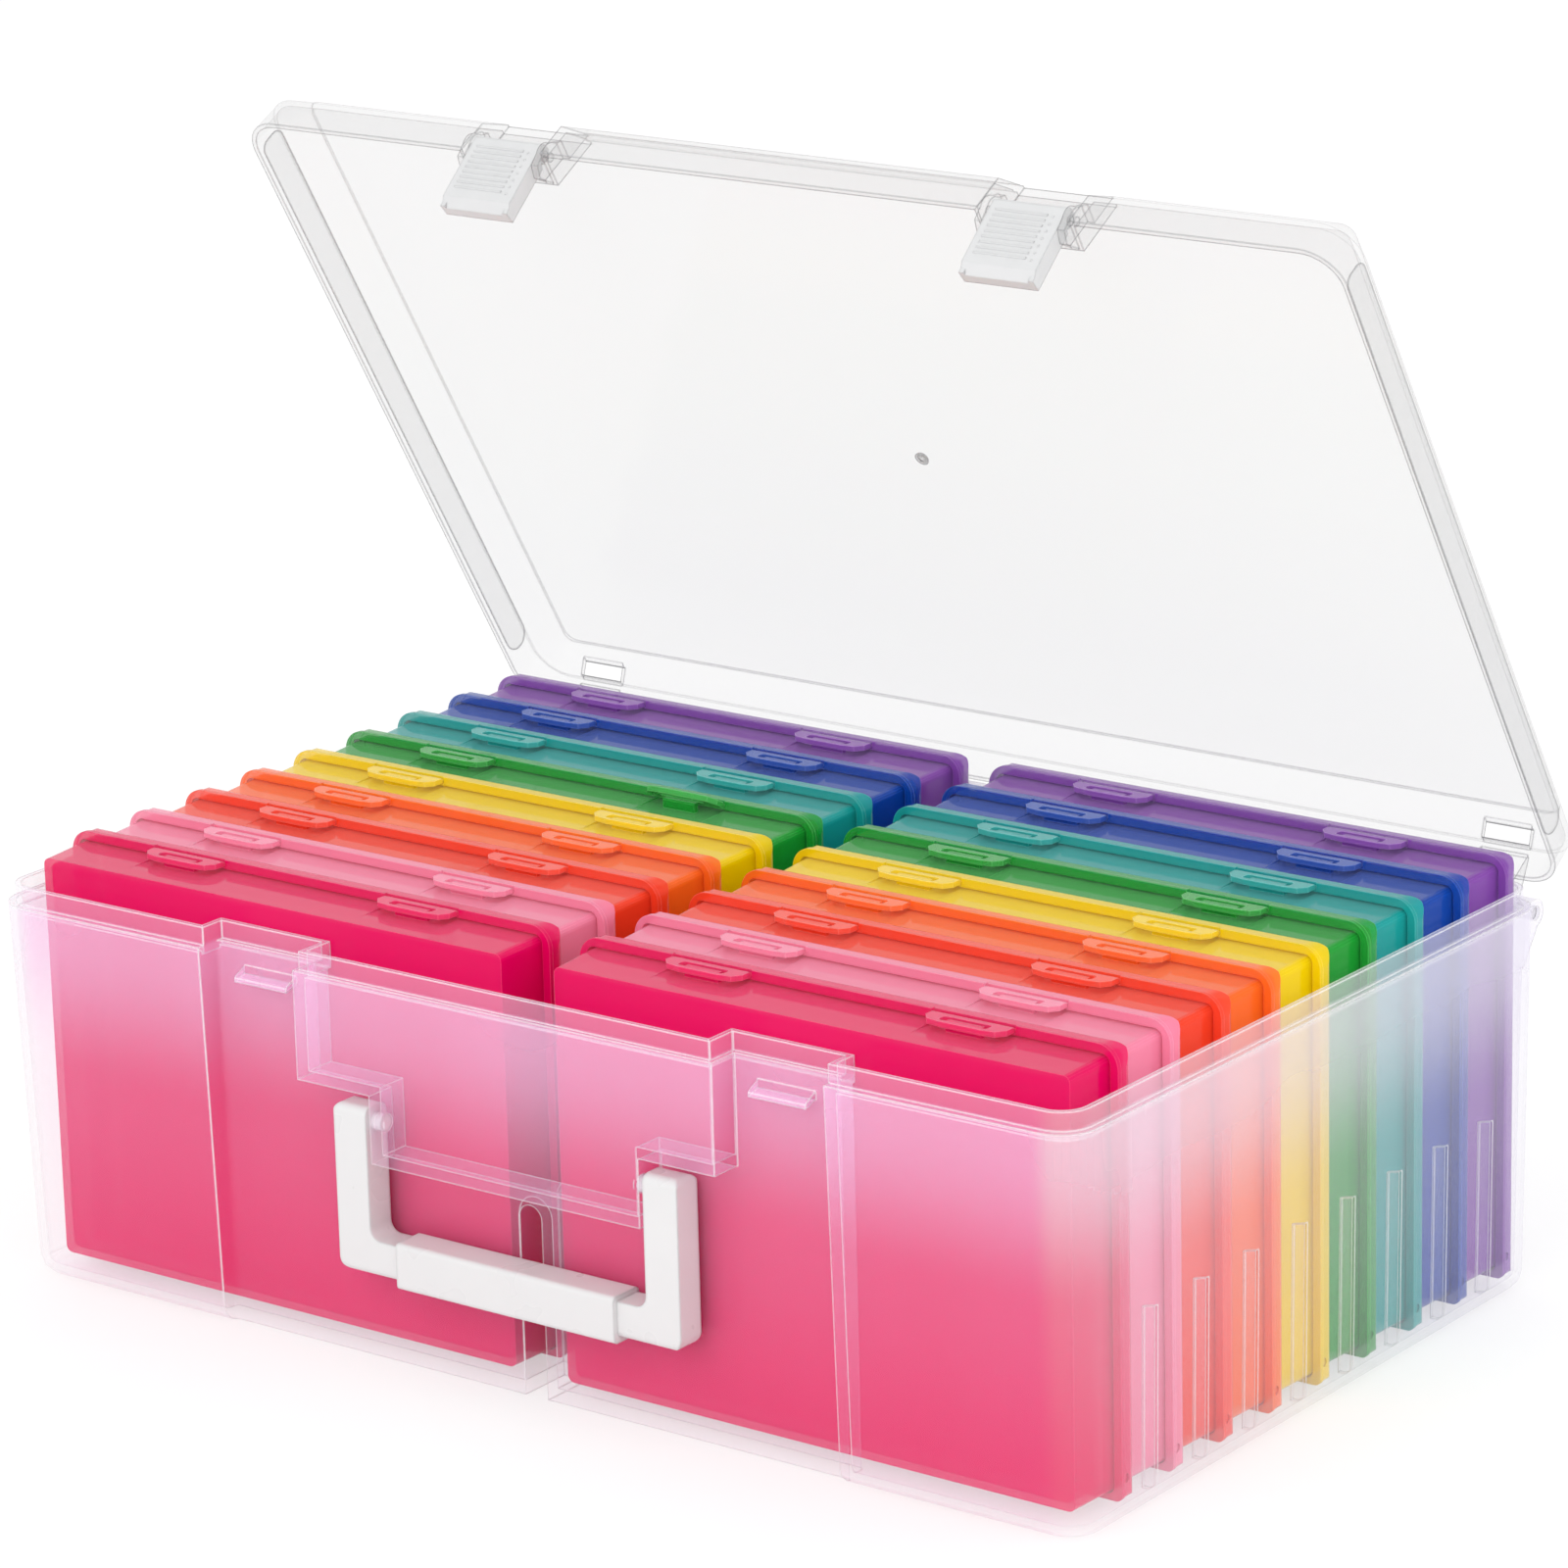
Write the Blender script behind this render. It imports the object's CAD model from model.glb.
import math
import bpy
import bmesh
from mathutils import Matrix, Vector


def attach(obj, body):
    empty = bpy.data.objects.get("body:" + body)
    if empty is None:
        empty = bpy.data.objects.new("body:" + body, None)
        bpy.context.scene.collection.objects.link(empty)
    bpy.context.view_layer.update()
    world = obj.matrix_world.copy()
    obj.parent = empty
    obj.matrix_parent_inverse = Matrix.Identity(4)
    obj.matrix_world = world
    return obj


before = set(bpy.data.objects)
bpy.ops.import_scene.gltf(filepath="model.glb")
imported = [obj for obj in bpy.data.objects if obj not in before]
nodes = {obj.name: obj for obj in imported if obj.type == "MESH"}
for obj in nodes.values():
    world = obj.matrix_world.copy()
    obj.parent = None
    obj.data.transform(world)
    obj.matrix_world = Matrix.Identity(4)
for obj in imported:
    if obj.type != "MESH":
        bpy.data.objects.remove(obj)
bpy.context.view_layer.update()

scene = bpy.context.scene
print("frame loaded:", len(nodes), "nodes")

white = (1, 1, 1)
sides = (("left", -1), ("right", 1))


# ---- small helpers for node materials

def newMaterial(name):
    mat = bpy.data.materials.new(name)
    mat.use_nodes = True
    tree = mat.node_tree
    tree.nodes.clear()
    out = tree.nodes.new("ShaderNodeOutputMaterial")
    shader = tree.nodes.new("ShaderNodeBsdfPrincipled")
    tree.links.new(shader.outputs[0], out.inputs[0])
    return mat, tree, shader


def addNode(tree, kind, **settings):
    node = tree.nodes.new(kind)
    for key, value in settings.items():
        setattr(node, key, value)
    return node


# a and b are numbers or sockets
def mathNode(tree, operation, a, b=None, clamp=False):
    node = addNode(tree, "ShaderNodeMath", operation=operation, use_clamp=clamp)
    for socket, value in zip(node.inputs, (a, b)):
        if value is None:
            continue
        if isinstance(value, (int, float)):
            socket.default_value = value
        else:
            tree.links.new(value, socket)
    return node.outputs[0]


def mapRange(tree, value, fromLow, fromHigh, toLow, toHigh):
    node = addNode(tree, "ShaderNodeMapRange", interpolation_type="SMOOTHSTEP")
    tree.links.new(value, node.inputs[0])
    for socket, number in zip(node.inputs[1:5], (fromLow, fromHigh, toLow, toHigh)):
        socket.default_value = number
    return node.outputs[0]


def objectPlace(tree):
    return addNode(tree, "ShaderNodeTexCoord").outputs["Object"]


def splitPlace(tree, place):
    split = addNode(tree, "ShaderNodeSeparateXYZ")
    tree.links.new(place, split.inputs[0])
    return split.outputs


# low and high are colours or sockets
def mixColours(tree, factor, low, high):
    node = addNode(tree, "ShaderNodeMix", data_type="RGBA")
    tree.links.new(factor, node.inputs[0])
    for socket, value in ((node.inputs[6], low), (node.inputs[7], high)):
        if isinstance(value, tuple):
            socket.default_value = (*value, 1)
        else:
            tree.links.new(value, socket)
    return node.outputs[2]


def noise(tree, place, scale, detail=2.0, stretch=(1, 1, 1)):
    mapping = addNode(tree, "ShaderNodeMapping")
    mapping.inputs["Scale"].default_value = stretch
    tree.links.new(place, mapping.inputs[0])
    node = addNode(tree, "ShaderNodeTexNoise")
    node.inputs["Scale"].default_value = scale
    node.inputs["Detail"].default_value = detail
    tree.links.new(mapping.outputs[0], node.inputs["Vector"])
    return node.outputs[0]


def giveRoughness(tree, shader, flow, low, high):
    tree.links.new(mapRange(tree, flow, 0.3, 0.7, low, high), shader.inputs["Roughness"])


def softNormal(tree, radius):
    node = addNode(tree, "ShaderNodeBevel", samples=4)
    node.inputs["Radius"].default_value = radius
    return node.outputs[0]


# fine grain over rounded edges
def giveGrain(tree, shader, place, v):
    node = addNode(tree, "ShaderNodeBump")
    node.inputs["Strength"].default_value = v["grainStrength"]
    node.inputs["Distance"].default_value = v["grainDepth"]
    tree.links.new(noise(tree, place, v["grainScale"]), node.inputs["Height"])
    tree.links.new(softNormal(tree, v["edgeRadius"]), node.inputs["Normal"])
    tree.links.new(node.outputs[0], shader.inputs["Normal"])


edgeTurn = (0.02, 0.12)     # how far the rounded normal turns away where an edge begins and is full


def edgeMask(tree, soft):
    flat = addNode(tree, "ShaderNodeNewGeometry")
    dot = addNode(tree, "ShaderNodeVectorMath", operation="DOT_PRODUCT")
    tree.links.new(soft, dot.inputs[0])
    tree.links.new(flat.outputs["Normal"], dot.inputs[1])
    turned = mathNode(tree, "SUBTRACT", 1.0, dot.outputs["Value"])
    return mapRange(tree, turned, *edgeTurn, 0.0, 1.0)


# 0 on faces seen straight on, 1 on faces seen edge on
def facing(tree, power):
    node = addNode(tree, "ShaderNodeLayerWeight")
    node.inputs["Blend"].default_value = 0.5
    return mathNode(tree, "POWER", node.outputs["Facing"], power)


# 1 on rays that show the surface itself, 0 on rays that only carry its light
def seenDirectly(tree):
    path = addNode(tree, "ShaderNodeLightPath")
    mirrored = mathNode(tree, "MAXIMUM", path.outputs["Is Glossy Ray"], path.outputs["Is Transmission Ray"])
    return mathNode(tree, "MAXIMUM", path.outputs["Is Camera Ray"], mirrored)


# ---- plastics

tubPlastic = {
    "colour": (0.90, 0.87, 0.97),
    "frontTint": (0.92, 0.60, 0.87),    # the front wall takes on the pink of the boxes behind it
    "frontY": (-0.094, -0.101),
    "frontX": (0.167, 0.174),
    "edgeColour": (1.0, 0.98, 1.0),
    "roughness": (0.18, 0.28),
    "ior": 1.45,
    "flow": (14, 3, (1, 1, 0.1)),       # upright flow lines: scale, detail, stretch
    "flowVeil": (0.9, 1.1),             # how they thin and thicken the veil
    "veilLow": 0.04,                    # share of each skin that is milky near the floor
    "veilMiddle": 0.05,                 # added by the middle
    "veilHigh": 0.21,                   # added near the rim
    "middleZ": (0.0, 0.075),
    "highZ": (0.062, 0.108),
    "lipZ": (0.1098, 0.1106),
    "lipShare": 0.45,                   # the thin lip is clearer again
    "veilGrazing": 0.25,                # added on faces seen edge on
    "grazingPower": 3.0,
    "veilEdge": 0.9,                    # added along the edges
    "edgeRadius": 0.0008,
}

lidPlastic = {
    "colour": (0.50, 0.50, 0.505),
    "edgeColour": (0.30, 0.30, 0.305),
    "roughness": (0.1, 0.13),
    "flow": (9, 2, (1, 0.4, 0.4)),
    "veil": 0.1,
    "veilGrazing": 0.25,
    "grazingPower": 4.0,
    "veilEdge": 0.7,
    "edgeRadius": 0.0009,
}

boxPlastic = {
    "roughness": (0.04, 0.09),
    "ior": 1.3,
    "flow": (30, 3, (0.3, 1, 1)),
    "deepShare": 0.94,                  # the darker of the two tones that the flow mixes
    "skin": 0.66,                       # share of each skin that holds colour, the rest is clear
    "skinEdge": 0.3,                    # added along the edges
    "skinShadow": 0.25,                 # how much of that stops light, as the plastic glows through
    "edgePale": 0.14,
    "topPale": 0.09,                    # whitening of faces seen at a flat angle
    "topFacing": (0.45, 0.72),
    "loopPale": 0.1,
    "loopEdgePale": 0.45,
    "edgeRadius": 0.0005,
}

boxColours = {
    "magenta": (0.82, 0.0, 0.12),
    "light_pink": (0.95, 0.27, 0.42),
    "red": (0.95, 0.06, 0.02),
    "orange": (1.0, 0.16, 0.015),
    "yellow": (0.93, 0.68, 0.0),
    "green": (0.012, 0.36, 0.035),
    "teal": (0.01, 0.38, 0.36),
    "blue": (0.004, 0.065, 0.42),
    "purple": (0.25, 0.065, 0.42),
}

handlePlastic = {
    "colour": (0.65, 0.65, 0.65),
    "paleColour": (0.69, 0.69, 0.69),
    "roughness": (0.26, 0.36),
    "cloudScale": 60,
    "grainScale": 900,
    "grainDepth": 0.0001,
    "grainStrength": 0.1,
    "edgeRadius": 0.0012,
}

latchPlastic = {
    "colour": (0.64, 0.645, 0.65),
    "paleColour": (0.69, 0.695, 0.70),
    "roughness": 0.35,
    "skin": 0.9,
    "cloudScale": 150,
    "cloudDetail": 3,
    "grainScale": 1800,
    "grainDepth": 0.0001,
    "grainStrength": 0.2,
    "edgeRadius": 0.0008,
}


# veil plus what edges and grazing faces add to it
def giveVeil(tree, shader, v, veil, edges):
    grazing = mathNode(tree, "MULTIPLY", facing(tree, v["grazingPower"]), v["veilGrazing"])
    edge = mathNode(tree, "MULTIPLY", edges, v["veilEdge"])
    alpha = mathNode(tree, "ADD", mathNode(tree, "ADD", grazing, veil), edge, clamp=True)
    tree.links.new(alpha, shader.inputs["Alpha"])


def makeTubMaterial():
    v = tubPlastic
    mat, tree, shader = newMaterial("tubClear")
    place = objectPlace(tree)
    x, y, z = splitPlace(tree, place)
    flow = noise(tree, place, *v["flow"])
    soft = softNormal(tree, v["edgeRadius"])
    edges = edgeMask(tree, soft)
    behind = mapRange(tree, y, *v["frontY"], 0.0, 1.0)
    between = mapRange(tree, mathNode(tree, "ABSOLUTE", x), *v["frontX"], 1.0, 0.0)
    front = mathNode(tree, "MULTIPLY", behind, between)
    wall = mixColours(tree, front, v["colour"], v["frontTint"])
    colour = mixColours(tree, edges, wall, v["edgeColour"])
    tree.links.new(colour, shader.inputs["Base Color"])
    giveRoughness(tree, shader, flow, *v["roughness"])
    middle = mapRange(tree, z, *v["middleZ"], v["veilLow"], v["veilLow"] + v["veilMiddle"])
    high = mapRange(tree, z, *v["highZ"], 0.0, v["veilHigh"])
    lip = mapRange(tree, z, *v["lipZ"], 1.0, v["lipShare"])
    veil = mathNode(tree, "MULTIPLY", mathNode(tree, "ADD", middle, high), lip)
    veil = mathNode(tree, "MULTIPLY", veil, mapRange(tree, flow, 0.2, 0.8, *v["flowVeil"]))
    giveVeil(tree, shader, v, veil, edges)
    shader.inputs["IOR"].default_value = v["ior"]
    tree.links.new(soft, shader.inputs["Normal"])
    return mat


def makeLidMaterial():
    v = lidPlastic
    mat, tree, shader = newMaterial("lidClear")
    flow = noise(tree, objectPlace(tree), *v["flow"])
    soft = softNormal(tree, v["edgeRadius"])
    edges = edgeMask(tree, soft)
    colour = mixColours(tree, edges, v["colour"], v["edgeColour"])
    tree.links.new(colour, shader.inputs["Base Color"])
    giveRoughness(tree, shader, flow, *v["roughness"])
    giveVeil(tree, shader, v, v["veil"], edges)
    tree.links.new(soft, shader.inputs["Normal"])
    return mat


# strong channels go further towards white than weak ones, so that the hue stays
def lighter(colour, share):
    return tuple(c + (1.0 - c) * share * (0.4 + 0.6 * c / max(colour)) for c in colour)


def makeBoxMaterial(name, colour, pale, edgePale):
    v = boxPlastic
    mat, tree, shader = newMaterial(name)
    flow = noise(tree, objectPlace(tree), *v["flow"])
    soft = softNormal(tree, v["edgeRadius"])
    edges = edgeMask(tree, soft)
    bright = lighter(colour, pale)
    deep = tuple(c * v["deepShare"] for c in bright)
    base = mixColours(tree, flow, deep, bright)
    base = mixColours(tree, edges, base, lighter(colour, edgePale))
    flat = mapRange(tree, facing(tree, 1.0), *v["topFacing"], 0.0, v["topPale"])
    tree.links.new(mixColours(tree, flat, base, white), shader.inputs["Base Color"])
    giveRoughness(tree, shader, flow, *v["roughness"])
    edge = mathNode(tree, "MULTIPLY", edges, v["skinEdge"])
    alpha = mathNode(tree, "ADD", edge, v["skin"], clamp=True)
    path = addNode(tree, "ShaderNodeLightPath")
    glow = mathNode(tree, "MULTIPLY", path.outputs["Is Shadow Ray"], 1.0 - v["skinShadow"])
    stop = mathNode(tree, "SUBTRACT", 1.0, glow)
    tree.links.new(mathNode(tree, "MULTIPLY", alpha, stop), shader.inputs["Alpha"])
    shader.inputs["IOR"].default_value = v["ior"]
    tree.links.new(soft, shader.inputs["Normal"])
    return mat


def makeHandleMaterial():
    v = handlePlastic
    mat, tree, shader = newMaterial("handleWhite")
    place = objectPlace(tree)
    cloud = noise(tree, place, v["cloudScale"])
    colour = mixColours(tree, cloud, v["colour"], v["paleColour"])
    tree.links.new(colour, shader.inputs["Base Color"])
    giveRoughness(tree, shader, cloud, *v["roughness"])
    giveGrain(tree, shader, place, v)
    return mat


def makeLatchMaterial():
    v = latchPlastic
    mat, tree, shader = newMaterial("latchFrosted")
    place = objectPlace(tree)
    cloud = noise(tree, place, v["cloudScale"], v["cloudDetail"])
    colour = mixColours(tree, cloud, v["colour"], v["paleColour"])
    tree.links.new(colour, shader.inputs["Base Color"])
    shader.inputs["Roughness"].default_value = v["roughness"]
    shader.inputs["Alpha"].default_value = v["skin"]
    giveGrain(tree, shader, place, v)
    return mat


def giveMaterial(node, material):
    mesh = nodes[node].data
    mesh.materials.clear()
    mesh.materials.append(material)


tubMaterial = makeTubMaterial()
lidMaterial = makeLidMaterial()
handleMaterial = makeHandleMaterial()
latchMaterial = makeLatchMaterial()

giveMaterial("tub", tubMaterial)
giveMaterial("lid", lidMaterial)
giveMaterial("handle", handleMaterial)
giveMaterial("latch_left", latchMaterial)
giveMaterial("latch_right", latchMaterial)
for colourName, colour in boxColours.items():
    v = boxPlastic
    boxMaterial = makeBoxMaterial("box_" + colourName, colour, 0.0, v["edgePale"])
    loopMaterial = makeBoxMaterial("loop_" + colourName, colour, v["loopPale"], v["loopEdgePale"])
    for name in nodes:
        if name.endswith("_" + colourName):
            giveMaterial(name, loopMaterial if name.startswith("snap_loop") else boxMaterial)
    if colourName == "green":
        giveMaterial("snap_loop_lifted", loopMaterial)
print("materials given")


# ---- where the open lid and the hanging latches stand

openLid = {"hingeY": 0.1203, "hingeZ": 0.1044, "openAngle": 59.3}
latch = {"x": 0.087, "pivotY": -0.1125, "pivotZ": 0.1138, "inAngle": 12.0, "faceY": -0.1156}


def turnAbout(y, z, degrees):
    place = Matrix.Translation((0, y, z))
    return place @ Matrix.Rotation(math.radians(degrees), 4, "X") @ place.inverted()


def lidTurn():
    return turnAbout(openLid["hingeY"], openLid["hingeZ"], -openLid["openAngle"])


def latchTurn():
    return lidTurn() @ turnAbout(latch["pivotY"], latch["pivotZ"], latch["inAngle"])


# every added piece rides on the body of its node and shares its slot
def ridePiece(name, mesh, node):
    piece = bpy.data.objects.new(name, mesh)
    scene.collection.objects.link(piece)
    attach(piece, node)


# ---- ribs and dots on the latches, grown with geometry nodes

latchRibs = {
    "count": 9,
    "pitch": -0.00175,
    "length": 0.0165,
    "radius": 0.00042,
    "topZ": 0.1125,
    "x": -0.0012,
}
latchDots = {
    "count": 7,
    "pitch": -0.00235,
    "radius": 0.00045,
    "topZ": 0.1122,
    "x": 0.0088,
}


def newGeometryTree(name, sizes):
    tree = bpy.data.node_groups.new(name, "GeometryNodeTree")
    face = tree.interface
    ids = {}
    for label, kind in sizes:
        socket = face.new_socket(name=label, in_out="INPUT", socket_type="NodeSocket" + kind)
        ids[label] = socket.identifier
    face.new_socket(name="Geometry", in_out="OUTPUT", socket_type="NodeSocketGeometry")
    return tree, ids, tree.nodes.new("NodeGroupInput"), tree.nodes.new("NodeGroupOutput")


def linkTo(tree, pairs):
    for source, target in pairs:
        tree.links.new(source, target)


# a row of points along Z, one instance of the shape on each
def addRow(tree, given, shape):
    step = addNode(tree, "ShaderNodeCombineXYZ")
    row = addNode(tree, "GeometryNodeMeshLine", mode="OFFSET")
    place = addNode(tree, "GeometryNodeInstanceOnPoints")
    whole = addNode(tree, "GeometryNodeRealizeInstances")
    linkTo(tree, [
        (given.outputs["Pitch"], step.inputs["Z"]),
        (given.outputs["Count"], row.inputs["Count"]),
        (step.outputs[0], row.inputs["Offset"]),
        (row.outputs[0], place.inputs["Points"]),
        (shape, place.inputs["Instance"]),
        (place.outputs[0], whole.inputs[0]),
    ])
    return whole.outputs[0]


def addPaint(tree, given, out, geometry):
    paint = addNode(tree, "GeometryNodeSetMaterial")
    linkTo(tree, [
        (geometry, paint.inputs["Geometry"]),
        (given.outputs["Material"], paint.inputs["Material"]),
        (paint.outputs[0], out.inputs[0]),
    ])


def makeRibTree():
    tree, ids, given, out = newGeometryTree("ribRow", [
        ("Count", "Int"), ("Pitch", "Float"), ("Length", "Float"), ("Radius", "Float"),
        ("Material", "Material"),
    ])
    bar = addNode(tree, "GeometryNodeCurvePrimitiveLine")
    for end, share in (("Start", -0.5), ("End", 0.5)):
        point = addNode(tree, "ShaderNodeCombineXYZ")
        reach = mathNode(tree, "MULTIPLY", given.outputs["Length"], share)
        linkTo(tree, [(reach, point.inputs["X"]), (point.outputs[0], bar.inputs[end])])
    ring = addNode(tree, "GeometryNodeCurvePrimitiveCircle", mode="RADIUS")
    ring.inputs["Resolution"].default_value = 10
    solid = addNode(tree, "GeometryNodeCurveToMesh")
    solid.inputs["Fill Caps"].default_value = True
    linkTo(tree, [
        (given.outputs["Radius"], ring.inputs["Radius"]),
        (addRow(tree, given, bar.outputs[0]), solid.inputs["Curve"]),
        (ring.outputs[0], solid.inputs["Profile Curve"]),
    ])
    addPaint(tree, given, out, solid.outputs[0])
    return tree, ids


def makeDotTree():
    tree, ids, given, out = newGeometryTree("dotRow", [
        ("Count", "Int"), ("Pitch", "Float"), ("Radius", "Float"), ("Material", "Material"),
    ])
    dot = addNode(tree, "GeometryNodeMeshIcoSphere")
    dot.inputs["Subdivisions"].default_value = 2
    tree.links.new(given.outputs["Radius"], dot.inputs["Radius"])
    addPaint(tree, given, out, addRow(tree, given, dot.outputs[0]))
    return tree, ids


def growMesh(name, tree, ids, sizes, turn):
    carrier = bpy.data.objects.new(name + "Grower", bpy.data.meshes.new(name + "Grower"))
    scene.collection.objects.link(carrier)
    modifier = carrier.modifiers.new("grow", "NODES")
    modifier.node_group = tree
    for label, value in sizes.items():
        modifier[ids[label]] = value
    graph = bpy.context.evaluated_depsgraph_get()
    mesh = bpy.data.meshes.new_from_object(carrier.evaluated_get(graph))
    carrier.modifiers.remove(modifier)
    bpy.data.objects.remove(carrier)
    mesh.transform(turn)
    mesh.name = name
    for face in mesh.polygons:
        face.use_smooth = True
    return mesh


ribTree, ribIds = makeRibTree()
dotTree, dotIds = makeDotTree()
for side, sign in sides:
    for kind, tree, ids, v in (
        ("latchRibs_", ribTree, ribIds, latchRibs),
        ("latchDots_", dotTree, dotIds, latchDots),
    ):
        sizes = {"Count": v["count"], "Pitch": v["pitch"], "Radius": v["radius"]}
        sizes["Material"] = latchMaterial
        if "length" in v:
            sizes["Length"] = v["length"]
        place = Matrix.Translation((sign * latch["x"] + v["x"], latch["faceY"], v["topZ"]))
        mesh = growMesh(kind + side, tree, ids, sizes, latchTurn() @ place)
        ridePiece(kind + side, mesh, "latch_" + side)
print("latch ribs grown")


# ---- mark of the mould's gate in the middle of the lid

gateMark = {
    "x": -0.002,
    "y": 0.003,
    "topZ": 0.1298,
    "middleHeight": 0.00035,
    "profile": (        # radius and height, from the middle outwards
        (0.0005, 0.0003), (0.0008, 0.0), (0.0014, 0.0),
        (0.0016, 0.0005), (0.0019, 0.0005), (0.0022, -0.0002),
    ),
    "turns": 32,
}


def makeGateMark():
    v = gateMark
    turns = v["turns"]
    work = bmesh.new()
    angles = [2 * math.pi * k / turns for k in range(turns)]
    rings = [
        [work.verts.new((radius * math.cos(a), radius * math.sin(a), height)) for a in angles]
        for radius, height in v["profile"]
    ]
    middle = work.verts.new((0, 0, v["middleHeight"]))
    for k in range(turns):
        j = (k + 1) % turns
        work.faces.new((middle, rings[0][k], rings[0][j]))
        for inner, outer in zip(rings, rings[1:]):
            work.faces.new((inner[k], outer[k], outer[j], inner[j]))
    work.faces.new(list(reversed(rings[-1])))
    bmesh.ops.recalc_face_normals(work, faces=work.faces)
    mesh = bpy.data.meshes.new("lidGateMark")
    work.to_mesh(mesh)
    work.free()
    mesh.transform(lidTurn() @ Matrix.Translation((v["x"], v["y"], v["topZ"])))
    mesh.materials.append(lidMaterial)
    ridePiece("lidGateMark", mesh, "lid")


makeGateMark()
print("gate mark made")


# ---- long shallow fields on the inside of the lid's two side skirts

skirtField = {
    "x": 0.18085,
    "thick": 0.0004,
    "frontY": -0.1045,
    "rearY": 0.0985,
    "lowZ": 0.1121,
    "highZ": 0.1213,
    "frontRadius": 0.003,
    "rearRadius": 0.00459,      # just under half the height, which rounds the rear end
    "cornerSteps": 8,
}


def fieldOutline(v):
    y0, y1, z0, z1 = v["frontY"], v["rearY"], v["lowZ"], v["highZ"]
    front, rear = v["frontRadius"], v["rearRadius"]
    points = []
    for y, z, radius, start in (
        (y1 - rear, z0 + rear, rear, 270), (y1 - rear, z1 - rear, rear, 0),
        (y0 + front, z1 - front, front, 90), (y0 + front, z0 + front, front, 180),
    ):
        for k in range(v["cornerSteps"] + 1):
            a = math.radians(start + 90 * k / v["cornerSteps"])
            points.append((y + radius * math.cos(a), z + radius * math.sin(a)))
    return points


def makeSkirtField(side, sign):
    v = skirtField
    outline = fieldOutline(v)
    work = bmesh.new()
    outer, inner = (
        [work.verts.new((sign * x, y, z)) for y, z in outline] for x in (v["x"], v["x"] - v["thick"])
    )
    work.faces.new(outer)
    work.faces.new(list(reversed(inner)))
    count = len(outline)
    for k in range(count):
        j = (k + 1) % count
        work.faces.new((outer[k], inner[k], inner[j], outer[j]))
    bmesh.ops.recalc_face_normals(work, faces=work.faces)
    mesh = bpy.data.meshes.new("lidSkirtField_" + side)
    work.to_mesh(mesh)
    work.free()
    mesh.transform(lidTurn())
    mesh.materials.append(lidMaterial)
    ridePiece("lidSkirtField_" + side, mesh, "lid")


for side, sign in sides:
    makeSkirtField(side, sign)
print("skirt fields made")


# ---- studio

studio = {
    "skyLight": 1.0,
    "floorReach": 4.0,
    "floorZ": -0.0002,
    "floorColours": ((0.93, 0.93, 0.93), (0.95, 0.95, 0.95)),
    "floorRoughness": 0.9,
    "floorGloss": 0.1,
    "cloudScale": 3,
    "shadowShare": 0.35,        # how much of the floor that the camera sees takes light and shadow
}

lamps = {
    "keyLamp": {"place": (0.2, -1.7, 1.1), "aim": (0, 0, 0.08), "size": 1.3, "power": 12},
    "sideLamp": {"place": (1.8, 0.2, 0.7), "aim": (0, 0, 0.06), "size": 1.3, "power": 8},
}


def makeSky():
    v = studio
    world = bpy.data.worlds.new("studioWorld")
    scene.world = world
    world.use_nodes = True
    tree = world.node_tree
    tree.nodes.clear()
    out = addNode(tree, "ShaderNodeOutputWorld")
    sky = addNode(tree, "ShaderNodeBackground")
    sky.inputs["Color"].default_value = (*white, 1)
    extra = mathNode(tree, "MULTIPLY", seenDirectly(tree), 1.0 - v["skyLight"])
    tree.links.new(mathNode(tree, "ADD", extra, v["skyLight"]), sky.inputs["Strength"])
    tree.links.new(sky.outputs[0], out.inputs[0])


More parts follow.
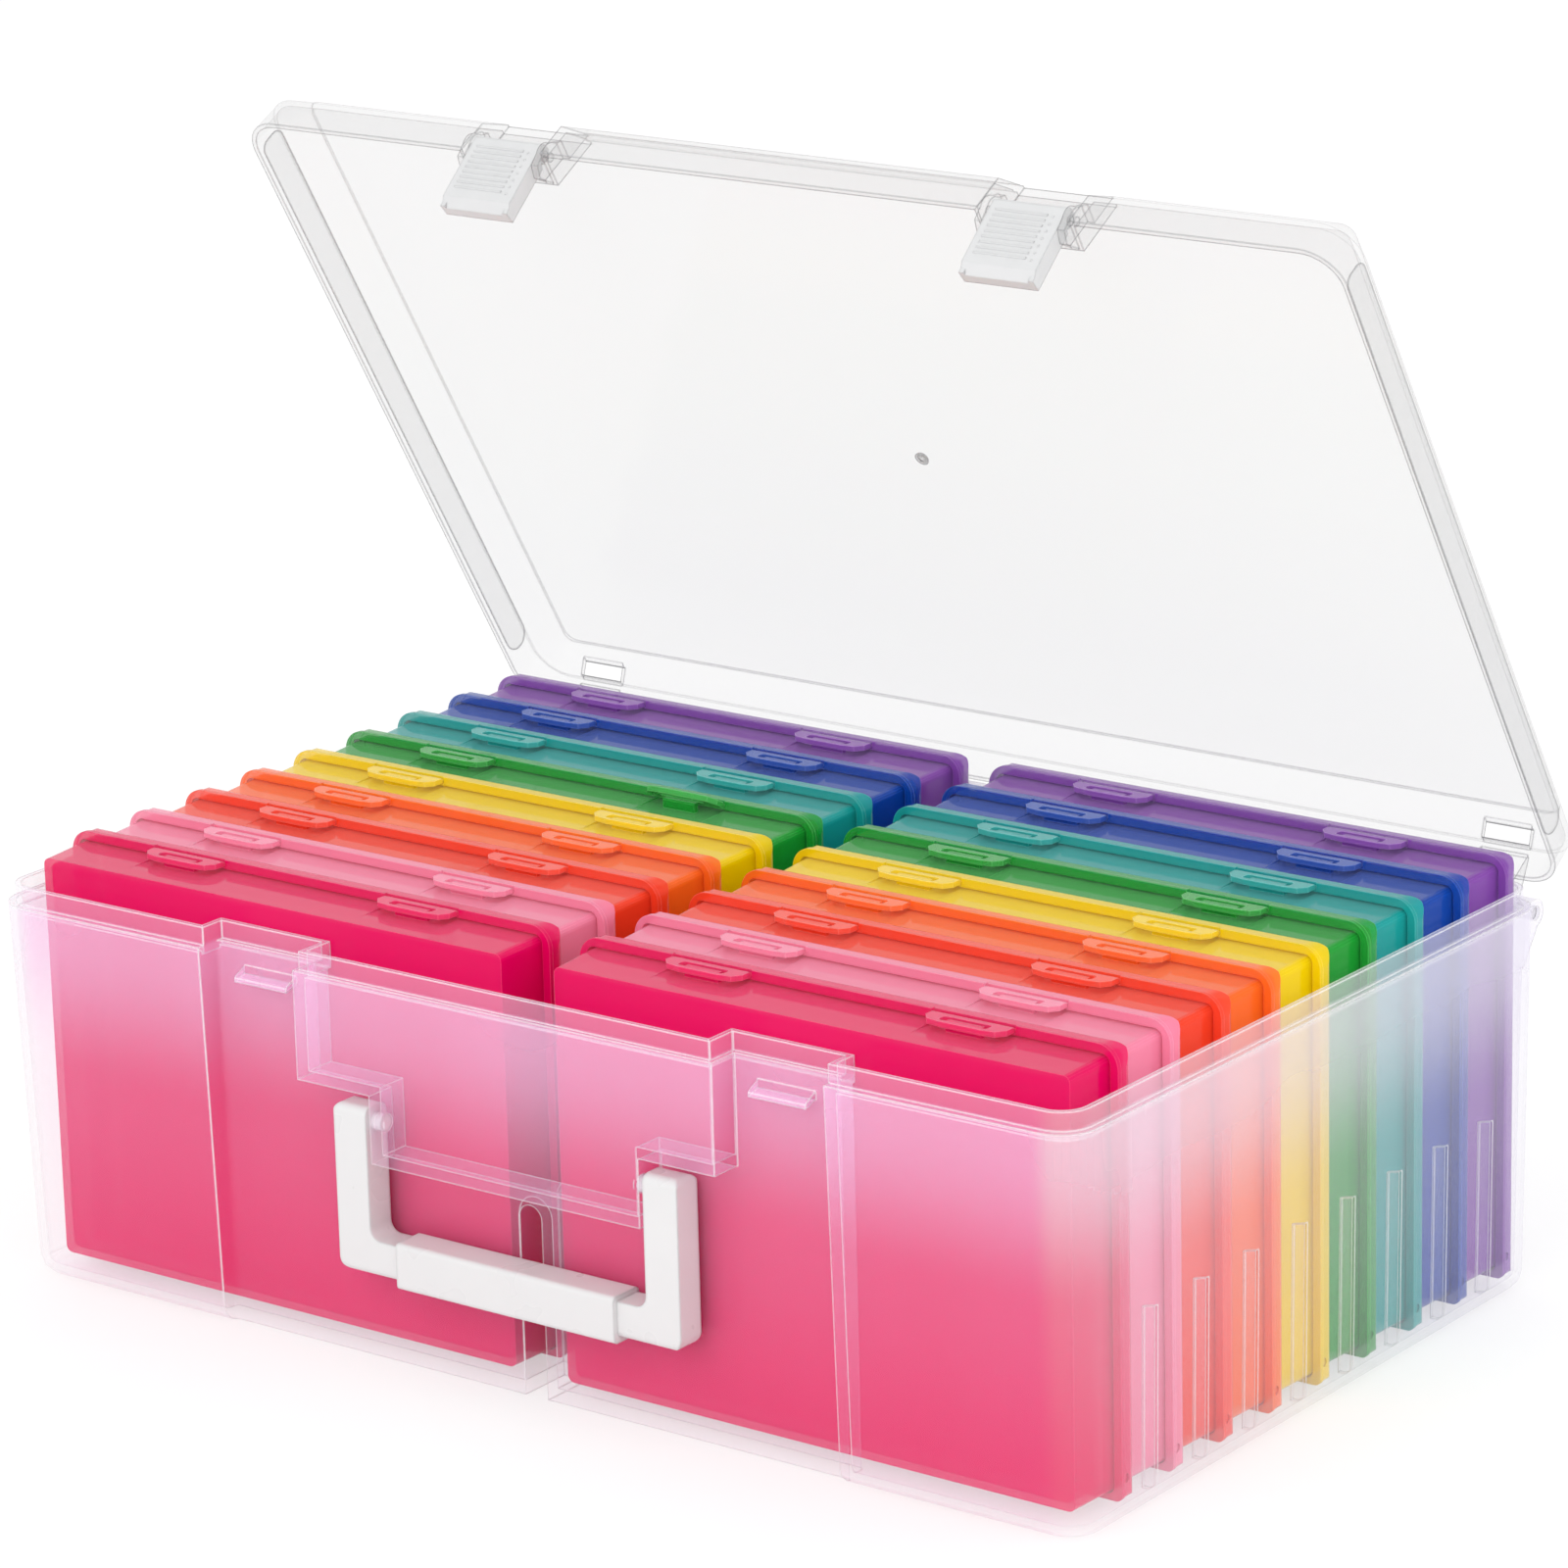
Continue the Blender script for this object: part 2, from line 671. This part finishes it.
def makeFloor():
    v = studio
    r, z = v["floorReach"], v["floorZ"]
    mesh = bpy.data.meshes.new("floor")
    mesh.from_pydata([(-r, -r, z), (r, -r, z), (r, r, z), (-r, r, z)], [], [(0, 1, 2, 3)])
    floor = bpy.data.objects.new("floor", mesh)
    scene.collection.objects.link(floor)
    mat, tree, shader = newMaterial("floorWhite")
    shader.inputs["Roughness"].default_value = v["floorRoughness"]
    shader.inputs["Specular IOR Level"].default_value = v["floorGloss"]
    seen = seenDirectly(tree)
    lit = mixColours(tree, noise(tree, objectPlace(tree), v["cloudScale"]), *v["floorColours"])
    shown = (v["shadowShare"],) * 3
    tree.links.new(mixColours(tree, seen, lit, shown), shader.inputs["Base Color"])
    glow = mathNode(tree, "MULTIPLY", seen, 1.0 - v["shadowShare"] * v["skyLight"])
    tree.links.new(glow, shader.inputs["Emission Strength"])
    shader.inputs["Emission Color"].default_value = (*white, 1)
    mesh.materials.append(mat)


def makeLamp(name, v):
    light = bpy.data.lights.new(name, "AREA")
    light.shape = "SQUARE"
    light.size = v["size"]
    light.energy = v["power"]
    lamp = bpy.data.objects.new(name, light)
    scene.collection.objects.link(lamp)
    lamp.location = v["place"]
    ray = Vector(v["aim"]) - Vector(v["place"])
    lamp.rotation_euler = ray.to_track_quat("-Z", "Y").to_euler()


# ---- camera, as fitted to the photo

cameraView = {
    "azimuth": 37.017,
    "elevation": 16.514,
    "roll": -1.441,
    "place": (1.0296, -1.3539, 0.6483),
    "sensor": 36,
    "lens": 148.9,
    "clip": (0.1, 20),
}


def makeCamera():
    v = cameraView
    azimuth, elevation, roll = (math.radians(v[k]) for k in ("azimuth", "elevation", "roll"))
    level = math.cos(elevation)
    forward = Vector((-math.sin(azimuth) * level, math.cos(azimuth) * level, -math.sin(elevation)))
    right = Vector((math.cos(azimuth), math.sin(azimuth), 0))
    up = right.cross(forward)
    rolledRight = right * math.cos(roll) + up * math.sin(roll)
    rolledUp = up * math.cos(roll) - right * math.sin(roll)
    data = bpy.data.cameras.new("camera")
    data.sensor_width = v["sensor"]
    data.lens = v["lens"]
    data.clip_start, data.clip_end = v["clip"]
    camera = bpy.data.objects.new("camera", data)
    scene.collection.objects.link(camera)
    turn = Matrix((rolledRight, rolledUp, -forward)).transposed()
    camera.matrix_world = Matrix.Translation(v["place"]) @ turn.to_4x4()
    scene.camera = camera


makeSky()
makeFloor()
for name, v in lamps.items():
    makeLamp(name, v)
makeCamera()
scene.view_settings.view_transform = "Standard"
scene.cycles.transparent_max_bounces = 32
scene.cycles.max_bounces = 12
print("studio and camera ready")
